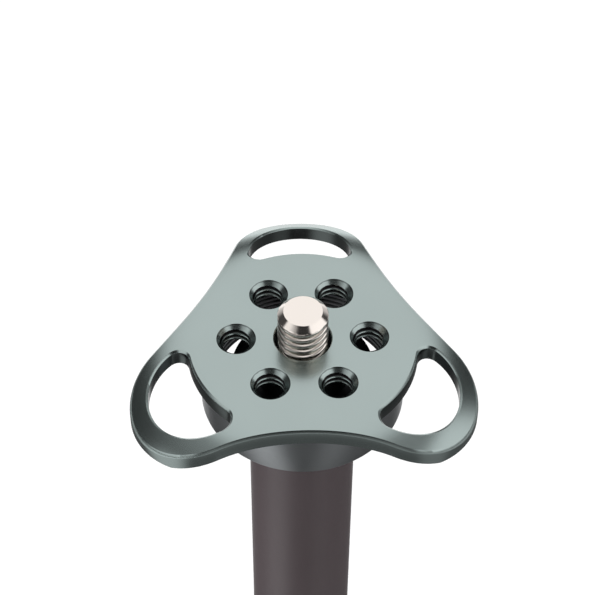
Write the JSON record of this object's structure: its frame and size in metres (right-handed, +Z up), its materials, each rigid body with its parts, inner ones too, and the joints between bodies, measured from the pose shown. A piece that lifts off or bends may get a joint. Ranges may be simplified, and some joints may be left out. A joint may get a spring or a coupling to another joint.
{
  "type": "camera tripod",
  "caption": "Compact tripod with telescopic legs and a raised centre column that ends in a three-lobed mounting plate with a fixed stud, tapped holes and strap slots.",
  "frame": {"origin": "centre of the mounting plate's flat top face, at the foot of the camera stud", "axes": "+Z up along the centre column and the camera stud; +Y towards one lobe of the plate, -Y along the front leg"},
  "size_m": [0.3342, 0.2921, 0.5794],
  "materials": {
    "plate": "bead-blasted grey-green anodised",
    "skirt": "turned, grey-green anodised",
    "dark_metal": "black anodised",
    "steel": "machined stainless",
    "column_tube": "satin dark grey-brown anodised",
    "leg_tube": "satin dark grey-brown anodised",
    "casting": "fine-textured grey-green coat",
    "lock_ring": "ridged rubber over metal",
    "tab": "satin anodised",
    "nylon": "moulded",
    "rubber": "moulded rubber"
  },
  "bodies": {
    "shoulder": {"shoulder": "casting", "leg_hinge_bolts": "steel", "leg_hinge_nuts": "steel", "column_bushing": "nylon", "column_collet": "nylon"},
    "column": {"mount_plate": "plate", "plate_collar": "skirt", "column_top_hub": "dark_metal", "camera_stud": "steel", "column_tube": "column_tube", "column_end_cap": "dark_metal"},
    "column_lock": {"column_lock_ring": "lock_ring"},
    "weight_ring": {"weight_ring": "steel"},
    "right_leg": {"right_leg_bracket": "casting", "right_leg_upper_tube": "leg_tube", "right_leg_upper_collet": "nylon", "right_leg_tab_spring": "steel"},
    "right_angle_tab": {"right_leg_angle_tab": "tab"},
    "right_upper_lock": {"right_leg_upper_lock": "lock_ring"},
    "right_leg_middle": {"right_leg_middle_tube": "leg_tube", "right_leg_middle_shims": "nylon", "right_leg_lower_collet": "nylon"},
    "right_lower_lock": {"right_leg_lower_lock": "lock_ring"},
    "right_leg_lower": {"right_leg_lower_tube": "leg_tube", "right_leg_lower_shims": "nylon", "right_leg_foot_plug": "dark_metal", "right_leg_foot": "rubber"},
    "left_leg": {"left_leg_bracket": "casting", "left_leg_upper_tube": "leg_tube", "left_leg_upper_collet": "nylon", "left_leg_tab_spring": "steel"},
    "left_angle_tab": {"left_leg_angle_tab": "tab"},
    "left_upper_lock": {"left_leg_upper_lock": "lock_ring"},
    "left_leg_middle": {"left_leg_middle_tube": "leg_tube", "left_leg_middle_shims": "nylon", "left_leg_lower_collet": "nylon"},
    "left_lower_lock": {"left_leg_lower_lock": "lock_ring"},
    "left_leg_lower": {"left_leg_lower_tube": "leg_tube", "left_leg_lower_shims": "nylon", "left_leg_foot_plug": "dark_metal", "left_leg_foot": "rubber"},
    "front_leg": {"front_leg_bracket": "casting", "front_leg_upper_tube": "leg_tube", "front_leg_upper_collet": "nylon", "front_leg_tab_spring": "steel"},
    "front_angle_tab": {"front_leg_angle_tab": "tab"},
    "front_upper_lock": {"front_leg_upper_lock": "lock_ring"},
    "front_leg_middle": {"front_leg_middle_tube": "leg_tube", "front_leg_middle_shims": "nylon", "front_leg_lower_collet": "nylon"},
    "front_lower_lock": {"front_leg_lower_lock": "lock_ring"},
    "front_leg_lower": {"front_leg_lower_tube": "leg_tube", "front_leg_lower_shims": "nylon", "front_leg_foot_plug": "dark_metal", "front_leg_foot": "rubber"}
  },
  "joints": [
    {"name": "column_slide", "type": "slide", "parent": "shoulder", "child": "column", "axis": [0, 0, 1], "range_m": [-0.1895, 0]},
    {"name": "column_lock_turn", "type": "hinge", "parent": "shoulder", "child": "column_lock", "pos_m": [0, 0, -0.218], "axis": [0, 0, 1], "range_deg": [0, 100]},
    {"name": "weight_ring_swing", "type": "hinge", "parent": "column", "child": "weight_ring", "pos_m": [0, 0, -0.2704], "axis": [1, 0, 0], "range_deg": [-80, 80]},
    {"name": "right_leg_swing", "type": "hinge", "parent": "shoulder", "child": "right_leg", "pos_m": [0.03377, 0.0195, -0.242], "axis": [0.5, -0.866, 0], "range_deg": [-24, 156]},
    {"name": "right_angle_tab_slide", "type": "slide", "parent": "right_leg", "child": "right_angle_tab", "axis": [0.3522, 0.2034, -0.9135], "range_m": [0, 0.004], "stiffness_N_per_m": 800, "deforming": ["right_leg_tab_spring"]},
    {"name": "right_upper_lock_turn", "type": "hinge", "parent": "right_leg", "child": "right_upper_lock", "pos_m": [0.03377, 0.0195, -0.242], "axis": [0.3522, 0.2034, -0.9135], "range_deg": [0, 90]},
    {"name": "right_middle_slide", "type": "slide", "parent": "right_leg", "child": "right_leg_middle", "axis": [0.3522, 0.2034, -0.9135], "range_m": [0, 0.2]},
    {"name": "right_lower_lock_turn", "type": "hinge", "parent": "right_leg_middle", "child": "right_lower_lock", "pos_m": [0.03377, 0.0195, -0.242], "axis": [0.3522, 0.2034, -0.9135], "range_deg": [0, 90]},
    {"name": "right_lower_slide", "type": "slide", "parent": "right_leg_middle", "child": "right_leg_lower", "axis": [0.3522, 0.2034, -0.9135], "range_m": [0, 0.22]},
    {"name": "left_leg_swing", "type": "hinge", "parent": "shoulder", "child": "left_leg", "pos_m": [-0.03377, 0.0195, -0.242], "axis": [0.5, 0.866, 0], "range_deg": [-24, 156]},
    {"name": "left_angle_tab_slide", "type": "slide", "parent": "left_leg", "child": "left_angle_tab", "axis": [-0.3522, 0.2034, -0.9135], "range_m": [0, 0.004], "stiffness_N_per_m": 800, "deforming": ["left_leg_tab_spring"]},
    {"name": "left_upper_lock_turn", "type": "hinge", "parent": "left_leg", "child": "left_upper_lock", "pos_m": [-0.03377, 0.0195, -0.242], "axis": [-0.3522, 0.2034, -0.9135], "range_deg": [0, 90]},
    {"name": "left_middle_slide", "type": "slide", "parent": "left_leg", "child": "left_leg_middle", "axis": [-0.3522, 0.2034, -0.9135], "range_m": [0, 0.2]},
    {"name": "left_lower_lock_turn", "type": "hinge", "parent": "left_leg_middle", "child": "left_lower_lock", "pos_m": [-0.03377, 0.0195, -0.242], "axis": [-0.3522, 0.2034, -0.9135], "range_deg": [0, 90]},
    {"name": "left_lower_slide", "type": "slide", "parent": "left_leg_middle", "child": "left_leg_lower", "axis": [-0.3522, 0.2034, -0.9135], "range_m": [0, 0.22]},
    {"name": "front_leg_swing", "type": "hinge", "parent": "shoulder", "child": "front_leg", "pos_m": [0, -0.039, -0.242], "axis": [-1, 0, 0], "range_deg": [-24, 156]},
    {"name": "front_angle_tab_slide", "type": "slide", "parent": "front_leg", "child": "front_angle_tab", "axis": [0, -0.4067, -0.9135], "range_m": [0, 0.004], "stiffness_N_per_m": 800, "deforming": ["front_leg_tab_spring"]},
    {"name": "front_upper_lock_turn", "type": "hinge", "parent": "front_leg", "child": "front_upper_lock", "pos_m": [0, -0.039, -0.242], "axis": [0, -0.4067, -0.9135], "range_deg": [0, 90]},
    {"name": "front_middle_slide", "type": "slide", "parent": "front_leg", "child": "front_leg_middle", "axis": [0, -0.4067, -0.9135], "range_m": [0, 0.2]},
    {"name": "front_lower_lock_turn", "type": "hinge", "parent": "front_leg_middle", "child": "front_lower_lock", "pos_m": [0, -0.039, -0.242], "axis": [0, -0.4067, -0.9135], "range_deg": [0, 90]},
    {"name": "front_lower_slide", "type": "slide", "parent": "front_leg_middle", "child": "front_leg_lower", "axis": [0, -0.4067, -0.9135], "range_m": [0, 0.22]}
  ]
}
